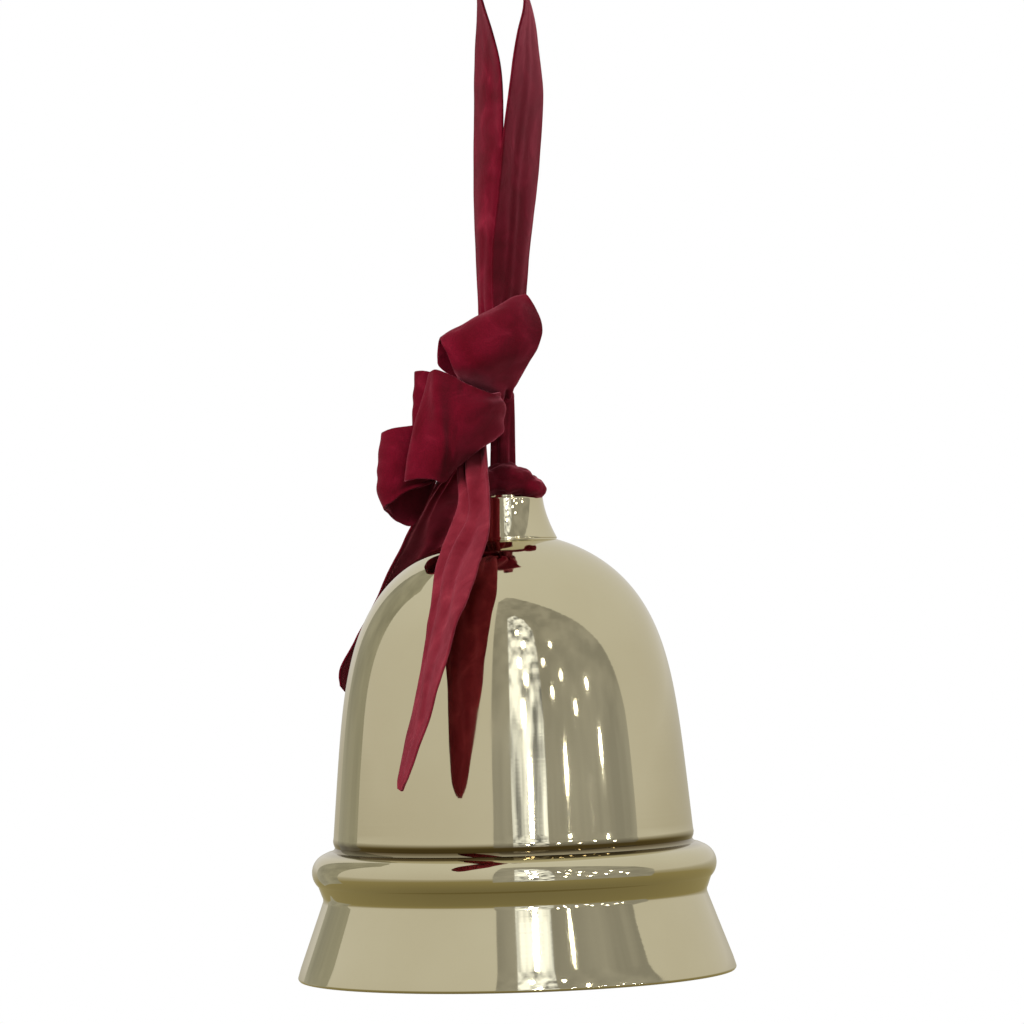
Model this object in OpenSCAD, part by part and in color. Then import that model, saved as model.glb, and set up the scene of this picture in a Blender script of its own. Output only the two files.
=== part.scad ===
// Hanging bell ornament: a spun metal bell with its clapper, hung on a velvet ribbon
// with a bow. Millimetres, +Z up. The origin is the point of the ribbon loop that sits
// on the hook, and the bell's axis runs straight down from it.

/* [Bell] */
// Outside diameter of the lip
lip_d = 160; // [150:1:170]
// Thickness of the spun shell
wall = 1.2; // [1:0.1:1.6]
// Height of the dome's top above the lip
dome_h = 158.6; // [156:0.2:159.4]
// Height of the neck collar above the dome
neck_h = 15.4; // [14:0.2:16]
// Radius of the neck collar at its top rim
neck_top_r = 14.4; // [13:0.1:15]
// Radius of the neck collar where it sits on the dome
neck_foot_r = 19.3; // [18.5:0.1:20]

/* [Clapper] */
// Diameter of the clapper's ball
ball_d = 22; // [16:1:24]
// Height of the ball's centre above the lip
ball_z = 27; // [24:1:34]
// Diameter of the clapper's rod
rod_d = 3; // [2.4:0.2:3.6]

/* [Ribbon] */
// Distance from the hook down to the lip
hang_h = 388; // [384:1:400]
// Thickness of the velvet ribbon
ribbon_t = 1; // [0.8:0.1:1.2]
// Width of the velvet ribbon
ribbon_w = 38; // [36:1:40]

/* [Hidden] */

gold = "#c9bd8f";
brass = "#b8975a";
steel = "#b9bcc0";
wine = "#6b1426";
dark_wine = "#4a0d1b";
$fn = 96;

// ---------------------------------------------------------------- bell profile
lip_r = lip_d / 2;
bead_z = 39;         // centre of the half-round bead
bead_c = 66.9;       // radius of the bead's centre circle
bead_r = 7;          // radius of the bead's own section
groove_z = 29;       // bottom of the groove between lip and bead
groove_r = 70.1;
foot_z = 48;         // crease where the dome rises from the bead
foot_r = 66;
taper = 0.09;        // how fast the dome's wall leans in
dome_power = 5;      // how late the shoulder turns over
top_r = 19.2;        // the dome is cut level inside the neck collar
bolt_r = 2;
bolt_hole_r = 2.3;

function bead_point(a, r) = [bead_c + r * cos(a), bead_z + r * sin(a)];
function dome_r(z) =
    let (u = (z - foot_z) / (dome_h + 2.6 - foot_z))
    (foot_r - taper * (z - foot_z)) * pow(1 - pow(u, dome_power), 0.52);

// Outer outline, lip first. "inset" moves it inwards by the shell's thickness.
function lip_line(inset) = [[lip_r - inset, 1 + inset * 0.2], [groove_r + 0.3 - inset, groove_z - 2]];
function groove_line(inset) = [[groove_r - inset, groove_z]];
function bead_line(inset) = [for (a = [-48:12:72]) bead_point(a, bead_r - inset)];
function wall_line(heights, inset) =
    [for (z = heights) [dome_r(z) - inset * dome_lean(z)[0], z - inset * dome_lean(z)[1]]];
waist_heights = [foot_z + 0.6, 51, 58, 70, 82, 92, 100, 107, 114, 120];
dome_heights = concat([120, 126, 131, 136, 141, 145],
                      [for (drop = [10.1, 7.1, 4.6, 2.6, 1]) dome_h - drop]);
// Unit vector square to the dome's wall at height z
function dome_lean(z) =
    let (slope = (dome_r(z + 0.1) - dome_r(z - 0.1)) / 0.2, l = sqrt(1 + slope * slope))
    [1 / l, -slope / l];

function reversed(p) = [for (i = [len(p) - 1:-1:0]) p[i]];

// Moves parts drawn from the lip upwards so that the hook point is the origin
module from_lip() {
    translate([0, 0, -hang_h]) children();
}

// The spun shell is one sheet of metal, drawn as three nodes that meet edge to edge. The
// skirt is the flared lip, the groove and the bead.
module bell_skirt() {
    function side(inset) =
        concat(lip_line(inset), groove_line(inset), bead_line(inset),
               wall_line([waist_heights[0]], inset));
    section = concat([[lip_r - wall - 0.2, 0], [lip_r - 0.4, 0]], side(0), reversed(side(wall)));
    color(gold) from_lip() rotate_extrude() polygon(section);
}

module bell_waist() {
    section = concat(wall_line(waist_heights, 0), reversed(wall_line(waist_heights, wall)));
    color(gold) from_lip() rotate_extrude() polygon(section);
}

module bell_dome() {
    inner = wall_line(dome_heights, wall);
    section = concat(
        wall_line(dome_heights, 0),
        [[top_r, dome_h], [bolt_hole_r, dome_h], [bolt_hole_r, dome_h - wall],
         [top_r - 1.5, dome_h - wall]],
        reversed([for (i = [0:len(inner) - 2]) inner[i]]));
    color(gold) from_lip() rotate_extrude() polygon(section);
}

// ---------------------------------------------------------------- neck and crown
neck_z = dome_h;
neck_top_z = neck_z + neck_h;

function neck_r(z) =
    neck_top_r + (neck_foot_r - neck_top_r) * pow((neck_top_z - z) / neck_h, 1.6);

module neck_collar() {
    steps = 8;
    outer = [for (i = [0:steps]) let (z = neck_z + (neck_h - 0.8) * i / steps) [neck_r(z), z]];
    inner = [for (i = [0:steps]) let (z = neck_z + (neck_h - wall) * i / steps) [neck_r(z) - wall, z]];
    section = concat(
        outer,
        [[neck_top_r - 0.5, neck_top_z], [bolt_hole_r, neck_top_z],
         [bolt_hole_r, neck_top_z - wall]],
        [for (i = [steps:-1:0]) inner[i]]);
    color(gold) from_lip() rotate_extrude() polygon(section);
}

// A flat ring round the bolt
module washer(z, r, t) {
    from_lip() translate([0, 0, z]) difference() {
        cylinder(r = r, h = t);
        translate([0, 0, -1]) cylinder(r = bolt_hole_r, h = t + 2);
    }
}

washer_t = 0.8;
eye_wire_r = 1.1;
eye_ring_r = 3.4;    // centre line of the eye that the ribbon is knotted through
eye_z = neck_top_z + washer_t + 0.6 + eye_wire_r + eye_ring_r;
bolt_low_z = 149.5;
nut_h = 3.2;
inner_washer_z = dome_h - wall - washer_t;
nut_z = inner_washer_z - nut_h;

module crown_washer() {
    color(gold) washer(neck_top_z, 7, washer_t);
}

module inner_washer() {
    color(steel) washer(inner_washer_z, 8, washer_t);
}

// Eye bolt: a closed eye above the neck on a straight shank down into the dome
module crown_eye() {
    shoulder_z = neck_top_z + washer_t;
    color(brass) from_lip() union() {
        translate([0, 0, eye_z]) rotate([90, 0, 0])
            rotate_extrude() translate([eye_ring_r, 0]) circle(r = eye_wire_r, $fn = 32);
        translate([0, 0, shoulder_z]) cylinder(r = 3, h = 1.2);
        translate([0, 0, bolt_low_z]) cylinder(r = bolt_r, h = shoulder_z - bolt_low_z + 0.5);
    }
}

module stem_nut() {
    color(steel) from_lip() translate([0, 0, nut_z]) difference() {
        cylinder(r = 4, h = nut_h, $fn = 6);
        translate([0, 0, -1]) cylinder(r = bolt_r + 0.05, h = nut_h + 2);
    }
}

// Eye nut: screws on the bolt's lower end and carries the clapper's link
lower_wire_r = 1;
lower_ring_r = 4;
socket_h = 4;
socket_z = nut_z - socket_h - 0.2;
lower_eye_z = socket_z - lower_ring_r + 0.4;
link_pivot_z = lower_eye_z - lower_ring_r;

module clapper_eye() {
    color(brass) from_lip() difference() {
        union() {
            translate([0, 0, socket_z]) cylinder(r = 3.6, h = socket_h);
            translate([0, 0, lower_eye_z]) rotate([90, 0, 0])
                rotate_extrude() translate([lower_ring_r, 0]) circle(r = lower_wire_r, $fn = 32);
        }
        translate([0, 0, bolt_low_z]) cylinder(r = bolt_r + 0.05, h = 20);
    }
}

// ---------------------------------------------------------------- clapper
link_wire_r = 0.8;
link_half_w = 2.3;   // from the link's middle to the centre of each leg
link_gap = 0.15;
link_top_z = link_pivot_z + lower_wire_r + link_gap + link_wire_r;
link_leg = 7;        // length of each straight leg
link_low_z = link_top_z - 2 * link_half_w - link_leg;
rod_pivot_z = link_low_z;
rod_wire_r = 0.8;
rod_ring_r = 3;
rod_ring_z = rod_pivot_z + link_wire_r + link_gap + rod_wire_r - rod_ring_r;
rod_top_z = rod_ring_z - rod_ring_r;
ball_r = ball_d / 2;
rod_r = rod_d / 2;
tip_h = 5;
rod_low_z = ball_z - ball_r - tip_h + 1;

// Half of a round wire ring, standing in the YZ plane
module half_ring(r, wire) {
    rotate([0, 90, 0]) rotate_extrude(angle = 180) translate([r, 0]) circle(r = wire, $fn = 32);
}

module clapper_link() {
    color(steel) from_lip() union() {
        translate([0, 0, link_top_z - link_half_w]) rotate([90, 0, 0])
            half_ring(link_half_w, link_wire_r);
        translate([0, 0, link_low_z + link_half_w]) rotate([-90, 0, 0])
            half_ring(link_half_w, link_wire_r);
        for (side = [-1, 1])
            translate([0, side * link_half_w, link_low_z + link_half_w])
                cylinder(r = link_wire_r, h = link_leg, $fn = 32);
    }
}

module clapper_rod() {
    color(brass) from_lip() union() {
        translate([0, 0, rod_ring_z]) rotate([90, 0, 0])
            rotate_extrude() translate([rod_ring_r, 0]) circle(r = rod_wire_r, $fn = 32);
        translate([0, 0, rod_top_z - 3]) cylinder(r1 = rod_r, r2 = rod_wire_r, h = 3);
        translate([0, 0, rod_low_z]) cylinder(r = rod_r, h = rod_top_z - 3 - rod_low_z);
    }
}

module clapper_ball() {
    color(gold) from_lip() difference() {
        translate([0, 0, ball_z]) sphere(r = ball_r);
        cylinder(r = rod_r + 0.05, h = 100);
    }
}

// Domed cap nut under the ball
module clapper_tip() {
    cap_r = 3.4;
    top = ball_z - ball_r + 0.6;
    color(brass) from_lip() difference() {
        union() {
            translate([0, 0, top - tip_h + 2]) cylinder(r = cap_r, h = tip_h - 2);
            translate([0, 0, top - tip_h + 2]) sphere(r = cap_r);
        }
        translate([0, 0, rod_low_z]) cylinder(r = rod_r + 0.05, h = 20);
        translate([0, 0, ball_z]) sphere(r = ball_r + 0.05);
    }
}

// ---------------------------------------------------------------- ribbon
// A ribbon is given by rows of five points that run across it from edge to edge. The
// rows are joined by smooth curves, and the cloth is given its thickness.
fine = 2;            // rings between two listed rows

function curve_point(p, i, t) =
    let (n = len(p) - 1, a = p[max(i - 1, 0)], b = p[i], c = p[min(i + 1, n)], d = p[min(i + 2, n)])
    0.5 * (2 * b + (c - a) * t + (2 * a - 5 * b + 4 * c - d) * t * t
           + (3 * b - 3 * c + d - a) * t * t * t);
function smooth_rows(p) =
    concat([for (i = [0:len(p) - 2]) for (k = [0:fine - 1]) curve_point(p, i, k / fine)],
           [p[len(p) - 1]]);
function unit(v) = v / norm(v);
function quad(a, b, c, d) = [[a, b, c], [a, c, d]];

module cloth(rows) {
    grid = smooth_rows(rows);
    n = len(grid);
    m = len(grid[0]);
    half = [for (i = [0:n - 1]) for (j = [0:m - 1])
        unit(cross(grid[min(i + 1, n - 1)][j] - grid[max(i - 1, 0)][j],
                   grid[i][min(j + 1, m - 1)] - grid[i][max(j - 1, 0)])) * ribbon_t / 2];
    middle = [for (row = grid) each row];
    under = n * m;
    inner = [for (i = [0:n - 2]) for (j = [0:m - 2]) let (a = i * m + j, b = a + under) each concat(
        quad(a, a + 1, a + m + 1, a + m), quad(b, b + m, b + m + 1, b + 1))];
    edges = [for (i = [0:n - 2]) let (a = i * m, b = a + under, c = a + m - 1, d = b + m - 1) each concat(
        quad(a, a + m, b + m, b), quad(c + m, c, d, d + m))];
    ends = [for (j = [0:m - 2]) let (a = j, b = a + under, c = a + under - m, d = c + under) each concat(
        quad(a + 1, a, b, b + 1), quad(c, c + 1, d + 1, d))];
    from_lip() polyhedron(concat(middle + half, middle - half), concat(inner, edges, ends));
}

// Heights below are measured up from the lip, like the bell's own.
apex_z = hang_h + ribbon_t / 2;
half_w = ribbon_w / 2;

// A level row over the hook, from the near edge to the far edge
function hook_row(near_x, far_x, z) =
    [for (k = [0:4]) [near_x + (far_x - near_x) * k / 4, half_w * (k / 2 - 1), z]];

// Up the left strand, over the hook and down the right strand
hanger = [
    [[-3, -1, 210], [-3.5, 0.5, 210.5], [-4, 2, 210], [-4.2, 3.5, 210.5], [-4, 5, 210]],
    [[-2.5, -2.5, 222], [-3.5, 0, 222], [-4.3, 3, 222], [-5, 6, 222], [-5, 9, 222]],
    [[-2, -4.5, 234], [-4, -1, 234], [-5.5, 3, 234], [-6.2, 7.5, 234], [-6, 11.5, 234]],
    [[-1.5, -6, 250], [-4, -2, 250], [-6, 3, 250], [-6.8, 9, 250], [-6.3, 14, 250]],
    [[0.5, -7, 275], [-3, -2, 275], [-6, 4, 275], [-7.2, 12, 275], [-7, 20, 275]],
    [[3.5, -8.5, 300], [-0.5, -3, 300], [-4, 4, 300], [-6.5, 12, 300], [-7, 20, 300]],
    [[4, -10, 325], [1, -4, 325], [-2.5, 3, 325], [-5, 11, 325], [-6.2, 19, 325]],
    [[1.3, -14, 342], [-0.8, -6, 342], [-2.6, 2, 342], [-4.2, 10.5, 342], [-5.2, 18.5, 342]],
    hook_row(-3, -4, 358),
    hook_row(-5, -5, 376),
    hook_row(0, 0, apex_z),
    hook_row(5, 6, 378),
    hook_row(10, 12, 366),
    hook_row(13, 16, 354),
    [[10, -18, 341], [12, -9, 341], [14, 0, 341], [16, 9, 340], [17.8, 18, 339.5]],
    [[7, -17, 325], [10, -9, 325], [13.2, -1, 324], [16.3, 8, 323], [19, 17, 322]],
    [[4, -17, 305], [7.5, -9, 305], [11, -1, 304], [14.5, 8, 303], [17.3, 16, 302]],
    [[1, -14, 282], [5, -7, 282], [9, 0, 282], [12.5, 7, 282], [14.8, 14, 282]],
    [[-1.5, -10, 262], [2.5, -5.5, 262], [6.5, -0.5, 262], [9.8, 5, 262], [11.8, 11, 262]],
    [[-2, -6, 242], [1, -3, 242], [4.5, 0.5, 242], [7.5, 4.5, 242], [9.5, 8.5, 242]],
    [[-0.5, -3, 225], [1, -1, 225], [3, 1, 225], [5, 3, 225], [6.5, 6, 225]],
    [[0, -3, 210.5], [1, -1.5, 210], [1.5, 0, 210.5], [2, 1.5, 210], [3, 3, 210.5]]];

upper_loop = [
    [[-5, -5, 209.5], [-2.5, -6.5, 210.5], [0, -5, 209.5], [2, -6.5, 210.5], [4, -5, 209.5]],
    [[-12, -12, 214], [-8, -14, 214], [-2, -14, 214], [3, -12, 215], [7, -9, 216.5]],
    [[-15.5, -18, 218], [-10, -22, 218], [-3, -22.5, 219], [4, -20, 221.5], [11, -15, 223]],
    [[-17, -22, 221], [-10, -26, 222], [-2, -26.5, 224], [7, -23.5, 226.5], [14.5, -18, 228]],
    [[-19, -22, 226.5], [-10, -25.5, 228], [-1, -25.5, 231], [7.5, -22.5, 233.5], [16, -17.5, 234]],
    [[-20.7, -20, 230], [-12, -21.5, 234], [-3, -21, 238.5], [6, -18.5, 241.5], [14.5, -14, 240.5]],
    [[-21.2, -16, 232], [-13, -15, 236.5], [-4, -14, 241], [4, -12.5, 245.5], [10.5, -11, 247.5]],
    [[-22, -13, 230.5], [-13, -12, 235], [-5, -10.5, 239], [3, -9, 242], [9.5, -7.5, 242]],
    [[-22.5, -12, 225], [-14, -9.5, 229], [-6, -8, 231.5], [2, -6.5, 232], [8, -5.5, 231]],
    [[-21, -11, 221], [-14, -8, 221], [-7, -6, 222], [-1, -4.5, 222], [5, -4, 221]],
    [[-10, -5, 213.5], [-7, -3.5, 214], [-4, -2.5, 214.5], [-1, -2, 214.5], [3, -2.5, 214]],
    [[-7, -2, 209.5], [-5, -1, 210.5], [-3, -2, 209.5], [-1, -1, 210.5], [1, -2, 209.5]]];

front_loop = [
    [[-1, -6, 212], [-2, -7, 210.5], [-2, -6, 209], [-3, -7, 207.5], [-4, -6, 206]],
    [[0, -9, 212], [0.5, -9, 208], [0.5, -9, 203], [-1, -9, 199], [-3, -9, 196]],
    [[-0.5, -14, 212], [0.6, -15, 208], [0.8, -15, 203], [-0.3, -15, 198], [-2.5, -14, 194]],
    [[-3, -19.5, 211.5], [-4, -22, 207], [-5.5, -23.5, 202], [-7.5, -23, 197], [-9, -20, 191]],
    [[-10, -20, 214.5], [-11, -24, 207.5], [-12.5, -26.5, 200], [-14.5, -26.5, 193], [-15, -22, 186]],
    [[-17, -20, 218], [-17.5, -24, 209], [-18.5, -27, 200], [-19.5, -28, 190.5], [-21, -24, 179.5]],
    [[-22.5, -19.5, 220.5], [-22.8, -25, 211], [-22, -28.5, 201], [-21.5, -29.5, 191], [-25, -26, 180.5]],
    [[-24.5, -17.5, 220.3], [-25.5, -21, 210.5], [-26.5, -24, 200.5], [-28, -26, 190], [-30.5, -24, 181]],
    [[-25.5, -14.5, 219.5], [-28, -17, 210], [-31, -19.5, 200], [-33.5, -21, 190], [-35, -20, 180.5]],
    [[-24, -11, 218], [-26.5, -13, 209], [-29.5, -15, 200], [-32, -15.5, 190.5], [-34, -15, 181]],
    [[-16, -8, 214], [-18, -9, 207], [-20, -10, 200], [-22, -10, 193], [-24, -10, 186]],
    [[-8, -5, 213], [-8.5, -4, 211], [-9, -5, 209], [-9, -4, 207], [-9.5, -5, 205]]];

left_loop = [
    [[-8, -3, 210], [-9, -2, 209], [-9, -3, 208], [-9.5, -2, 207], [-10, -3, 206]],
    [[-20, -3, 202.5], [-20, -4.5, 198], [-20.5, -5.5, 193], [-21, -6, 188], [-22, -6, 183]],
    [[-32, -6, 201], [-32.5, -9, 195], [-33, -11, 189], [-34, -12, 183], [-35, -11.5, 177]],
    [[-39, -7, 200.3], [-39.5, -10.5, 194], [-40, -12.5, 187], [-40.5, -12.5, 180], [-40, -11.5, 173.5]],
    [[-43, -4, 199], [-44.3, -6, 193], [-45, -7.5, 185], [-45.3, -8, 178], [-43.5, -8, 171.3]],
    [[-42.5, 0, 199], [-43.5, -1, 192], [-44, -1, 184], [-44, -1, 176], [-42, -1, 169]],
    [[-38, 3, 199.5], [-38.5, 3, 192], [-39, 4, 183], [-39, 4, 174], [-38.5, 3, 166]],
    [[-30, 4, 201], [-30.5, 5, 193], [-31, 6, 184], [-31.5, 6, 175], [-32, 5, 166]],
    [[-20, 3, 205], [-20, 4, 200], [-20.5, 4, 195], [-21, 4, 190], [-22, 3, 185]],
    [[-9, 1, 211], [-9.5, 2, 209.5], [-10, 1, 208], [-10, 2, 206.5], [-10, 1, 205]]];

back_loop = [
    [[-6, 3, 213], [-7, 4, 211.5], [-7, 3, 210], [-7.5, 4, 208.5], [-8, 3, 207]],
    [[-18, 8, 219], [-18.5, 9, 213], [-19, 9.5, 207], [-19.5, 9, 201], [-20, 8, 195]],
    [[-27, 11, 221.8], [-27.5, 12, 212.5], [-28, 12.5, 203], [-28.5, 12, 194], [-29, 11, 185]],
    [[-31, 15, 222], [-31.8, 16, 213], [-32.5, 16.5, 203.5], [-33, 16, 194], [-33, 15, 184.5]],
    [[-28, 19, 221.5], [-28.5, 20, 212], [-29, 20.5, 203], [-29.5, 20, 194], [-30, 19, 185]],
    [[-18, 16, 218.5], [-18.5, 17, 212], [-19, 17, 206], [-19.5, 17, 200], [-20, 16, 194]],
    [[-5, 5.5, 213], [-5.5, 6.5, 211.5], [-6, 5.5, 210], [-6.5, 6.5, 208.5], [-7, 5.5, 207]]];

front_tail = [
    [[-9, -3, 209], [-8, -4, 208.5], [-7, -3.5, 208], [-6, -4.5, 208], [-5, -4, 208]],
    [[-14, -8, 195], [-12, -9, 194.5], [-10, -11, 194], [-7.5, -13, 193.5], [-5.5, -14, 193]],
    [[-16, -13, 184], [-14, -16, 183.5], [-11.5, -20, 183], [-8, -25, 182], [-4.8, -28, 181]],
    [[-16.5, -19, 173], [-15, -24, 172], [-12, -30, 171], [-8.5, -37, 170], [-4.6, -42, 168]],
    [[-18.5, -26, 165], [-16.5, -32, 163.5], [-13.5, -39, 162], [-9.5, -47, 160], [-5.5, -54, 158.5]],
    [[-22.5, -34, 156], [-20.5, -41, 154], [-17, -48, 152], [-13, -56, 150], [-9.2, -64, 149]],
    [[-25.3, -42, 147], [-23.5, -50, 144.5], [-20.5, -58, 142.5], [-17, -66, 140.5], [-13, -74, 139.5]],
    [[-27, -50, 136], [-25.5, -58, 133.5], [-23, -66, 131.5], [-20, -75, 130], [-16.5, -83, 129.5]],
    [[-28.5, -57, 124], [-27.5, -65, 122], [-25.5, -74, 120.5], [-23, -82, 119.5], [-20, -91, 119]],
    [[-31, -65, 110.5], [-30, -72, 110], [-28.5, -79.5, 109], [-26.5, -87, 108.5], [-23.5, -94, 108.5]],
    [[-34, -71, 98], [-33, -77, 97.5], [-31.5, -83, 97], [-29.5, -89, 97], [-27, -95, 97.5]],
    [[-37, -77, 86], [-36, -82, 86], [-34.5, -87, 86], [-33, -92, 86.5], [-31.5, -96, 87]],
    [[-38.8, -82, 77], [-38, -85.5, 76.5], [-37, -89, 76.3], [-36, -92.5, 76.5], [-35, -96, 77.5]],
    [[-39, -88, 72.2], [-38.6, -89.3, 71.8], [-38.2, -90.5, 71.6], [-38, -91.8, 71.8], [-37.5, -93, 72]]];

rear_tail = [
    [[-9, 2, 209], [-8.5, 3, 208.5], [-8, 4, 208], [-7, 5, 208], [-6, 6, 208]],
    [[-16, 7, 195], [-15, 9, 194], [-13.5, 12, 193], [-11.5, 14.5, 193], [-9, 16.5, 193]],
    [[-25, 11, 181], [-23.5, 15, 180], [-21, 19, 179.5], [-18, 23, 179.5], [-14, 26, 180]],
    [[-33, 14.5, 168], [-31, 20, 168], [-28, 26, 168], [-24, 31, 168.5], [-18.5, 35, 169.5]],
    [[-39, 20, 156], [-37, 27, 156.5], [-33.5, 34, 157], [-28.5, 40, 158], [-22, 45, 159]],
    [[-46, 28, 144.5], [-43.5, 35.5, 145], [-39.5, 43, 146], [-34, 49.5, 147], [-27, 55, 148]],
    [[-51.5, 34, 133], [-48.5, 42, 133], [-44, 50, 133.5], [-38, 57, 134.5], [-30.5, 62.5, 136]],
    [[-57.5, 37, 122], [-54.5, 45.5, 121], [-49.5, 53.5, 121], [-43, 60.5, 122], [-35, 66, 124]],
    [[-63, 39, 113], [-60, 47, 111], [-55, 55, 110], [-48, 62, 110.5], [-40, 67.5, 112.5]],
    [[-63.5, 40.5, 106], [-60.5, 48, 102.5], [-56, 56, 100.5], [-49, 63.5, 101.5], [-41.5, 68.5, 104]]];

module hanging_loop() {
    color(wine) cloth(hanger);
}

module bow_loop_upper() {
    color(wine) cloth(upper_loop);
}

module bow_loop_front() {
    color(wine) cloth(front_loop);
}

module bow_loop_left() {
    color(wine) cloth(left_loop);
}

module bow_loop_back() {
    color(dark_wine) cloth(back_loop);
}

module tail_front() {
    color(wine) cloth(front_tail);
}

module tail_rear() {
    color(dark_wine) cloth(rear_tail);
}

// Wrap of ribbon that holds the bow together
module bow_knot() {
    color(dark_wine) from_lip() hull() {
        translate([-5, 0, 211]) resize([13, 14, 8]) sphere(r = 1, $fn = 32);
        translate([1, 0, 211]) resize([8, 9, 8]) sphere(r = 1, $fn = 32);
    }
}

// Gathered ribbon between the bow and the knot on the neck
stem_low_z = 187;
stem_top_z = 206;

module ribbon_stem() {
    stem_h = stem_top_z - stem_low_z;
    color(dark_wine) from_lip() translate([0, 0, stem_low_z]) rotate_extrude()
        polygon([[0, 0], [3, 0], [4, 2], [4, 14], [3, stem_h], [0, stem_h]]);
}

// Knot of ribbon drawn down on the neck; it is hollow round the crown eye
knot_low_z = neck_top_z + washer_t + 0.2;
knot_top_z = stem_low_z - 1;

module neck_knot() {
    eye_room = eye_ring_r + eye_wire_r + 0.4;
    color(wine) from_lip() difference() {
        translate([3, 0, knot_low_z]) rotate_extrude()
            polygon([[0, 0], [11, 0], [12.6, 2.6], [11.6, 6], [8, 9],
                     [4, knot_top_z - knot_low_z], [0, knot_top_z - knot_low_z]]);
        translate([0, 0, knot_low_z - 1]) cylinder(r = eye_room, h = eye_z - knot_low_z + 1 + eye_room);
    }
}

bell_skirt();
bell_waist();
bell_dome();
neck_collar();
crown_washer();
crown_eye();
inner_washer();
stem_nut();
clapper_eye();
clapper_link();
clapper_rod();
clapper_ball();
clapper_tip();
neck_knot();
ribbon_stem();
hanging_loop();
bow_knot();
bow_loop_upper();
bow_loop_front();
bow_loop_left();
bow_loop_back();
tail_front();
tail_rear();
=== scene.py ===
"""Looks of the hanging bell ornament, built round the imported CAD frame.

Everything is in metres, in the CAD's own frame: the hook point is the origin and the bell's
axis runs down from it. Soft pieces are given in millimetres measured from the lip's plane,
like the CAD's ribbon solids, and place() turns those into the frame's metres.
"""
import math

import bmesh
import bpy
from mathutils import Matrix, Vector, noise


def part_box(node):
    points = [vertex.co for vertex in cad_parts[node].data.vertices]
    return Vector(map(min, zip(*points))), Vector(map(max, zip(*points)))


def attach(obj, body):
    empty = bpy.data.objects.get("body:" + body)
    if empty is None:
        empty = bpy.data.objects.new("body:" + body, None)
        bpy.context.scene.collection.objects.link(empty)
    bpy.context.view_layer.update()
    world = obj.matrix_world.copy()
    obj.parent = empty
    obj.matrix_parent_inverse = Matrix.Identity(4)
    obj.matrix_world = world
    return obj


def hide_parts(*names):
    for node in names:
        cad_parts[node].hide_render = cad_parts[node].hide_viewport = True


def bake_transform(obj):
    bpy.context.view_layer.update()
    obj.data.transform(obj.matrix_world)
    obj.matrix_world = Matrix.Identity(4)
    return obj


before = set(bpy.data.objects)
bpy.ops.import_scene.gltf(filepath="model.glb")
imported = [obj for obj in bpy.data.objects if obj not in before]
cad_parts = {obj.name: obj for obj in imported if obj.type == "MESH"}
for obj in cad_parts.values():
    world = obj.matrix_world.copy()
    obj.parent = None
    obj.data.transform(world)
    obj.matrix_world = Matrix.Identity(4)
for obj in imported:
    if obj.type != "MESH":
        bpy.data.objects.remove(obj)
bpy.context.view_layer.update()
LIP_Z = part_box("bell_skirt")[0][2]
MM = 0.001


def place(x, y, z):
    """A point in millimetres, measured up from the middle of the lip, in the frame's metres."""
    return Vector((x * MM, y * MM, z * MM + LIP_Z))


# ---------------------------------------------------------------- camera
CAMERA_DISTANCE = 1600
CAMERA_HEIGHT = 136
AIM_HEIGHT = 168.6
AIM_SIDE = 3.0
CAMERA_ROLL = math.radians(1.7)
LENS = 153.7


def make_camera():
    data = bpy.data.cameras.new("camera")
    data.lens = LENS
    data.sensor_width = 36
    data.clip_start, data.clip_end = 0.05, 100
    cam = bpy.data.objects.new("camera", data)
    bpy.context.scene.collection.objects.link(cam)
    cam.location = place(AIM_SIDE, -CAMERA_DISTANCE, CAMERA_HEIGHT)
    look = place(AIM_SIDE, 0, AIM_HEIGHT) - cam.location
    turn = look.to_track_quat("-Z", "Y").to_matrix().to_4x4()
    cam.matrix_world = Matrix.Translation(cam.location) @ turn @ Matrix.Rotation(-CAMERA_ROLL, 4, "Z")
    bpy.context.scene.camera = cam


make_camera()


# ---------------------------------------------------------------- materials
MIX_A, MIX_B, MIX_RESULT = 6, 7, 2    # colour sockets of the Mix node


def new_material(name):
    mat = bpy.data.materials.new(name)
    mat.use_nodes = True
    nodes = mat.node_tree.nodes
    return mat, nodes, mat.node_tree.links, nodes["Principled BSDF"]


def add(nodes, kind, **values):
    """A node with its sockets or properties set by name."""
    node = nodes.new(kind)
    for key, value in values.items():
        if key in node.inputs:
            node.inputs[key].default_value = value
        else:
            setattr(node, key, value)
    return node


def ramp(nodes, stops):
    """A colour ramp through stops of (position, colour)."""
    node = nodes.new("ShaderNodeValToRGB")
    elements = node.color_ramp.elements
    while len(elements) < len(stops):
        elements.new(0.5)
    for element, (at, colour) in zip(elements, stops):
        element.position = at
        element.color = (*colour, 1)
    return node


def noise_node(nodes, links, coords, scale, detail=3, rough=0.5, distortion=0.0):
    node = add(nodes, "ShaderNodeTexNoise", Scale=scale, Detail=detail, Roughness=rough,
               Distortion=distortion)
    links.new(coords, node.inputs["Vector"])
    return node


def multiply(nodes, links, one, other):
    """The colour output of a node that multiplies two colours."""
    mix = add(nodes, "ShaderNodeMix", data_type="RGBA", blend_type="MULTIPLY")
    mix.inputs[0].default_value = 1
    links.new(one.outputs["Color"], mix.inputs[MIX_A])
    links.new(other.outputs["Color"], mix.inputs[MIX_B])
    return mix.outputs[MIX_RESULT]


def bump_chain(nodes, links, bsdf, layers):
    """Bump nodes in a row, from (height socket, distance, strength)."""
    last = None
    for height, distance, strength in layers:
        bump = add(nodes, "ShaderNodeBump", Distance=distance, Strength=strength)
        links.new(height, bump.inputs["Height"])
        if last:
            links.new(last.outputs["Normal"], bump.inputs["Normal"])
        last = bump
    links.new(last.outputs["Normal"], bsdf.inputs["Normal"])


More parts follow.
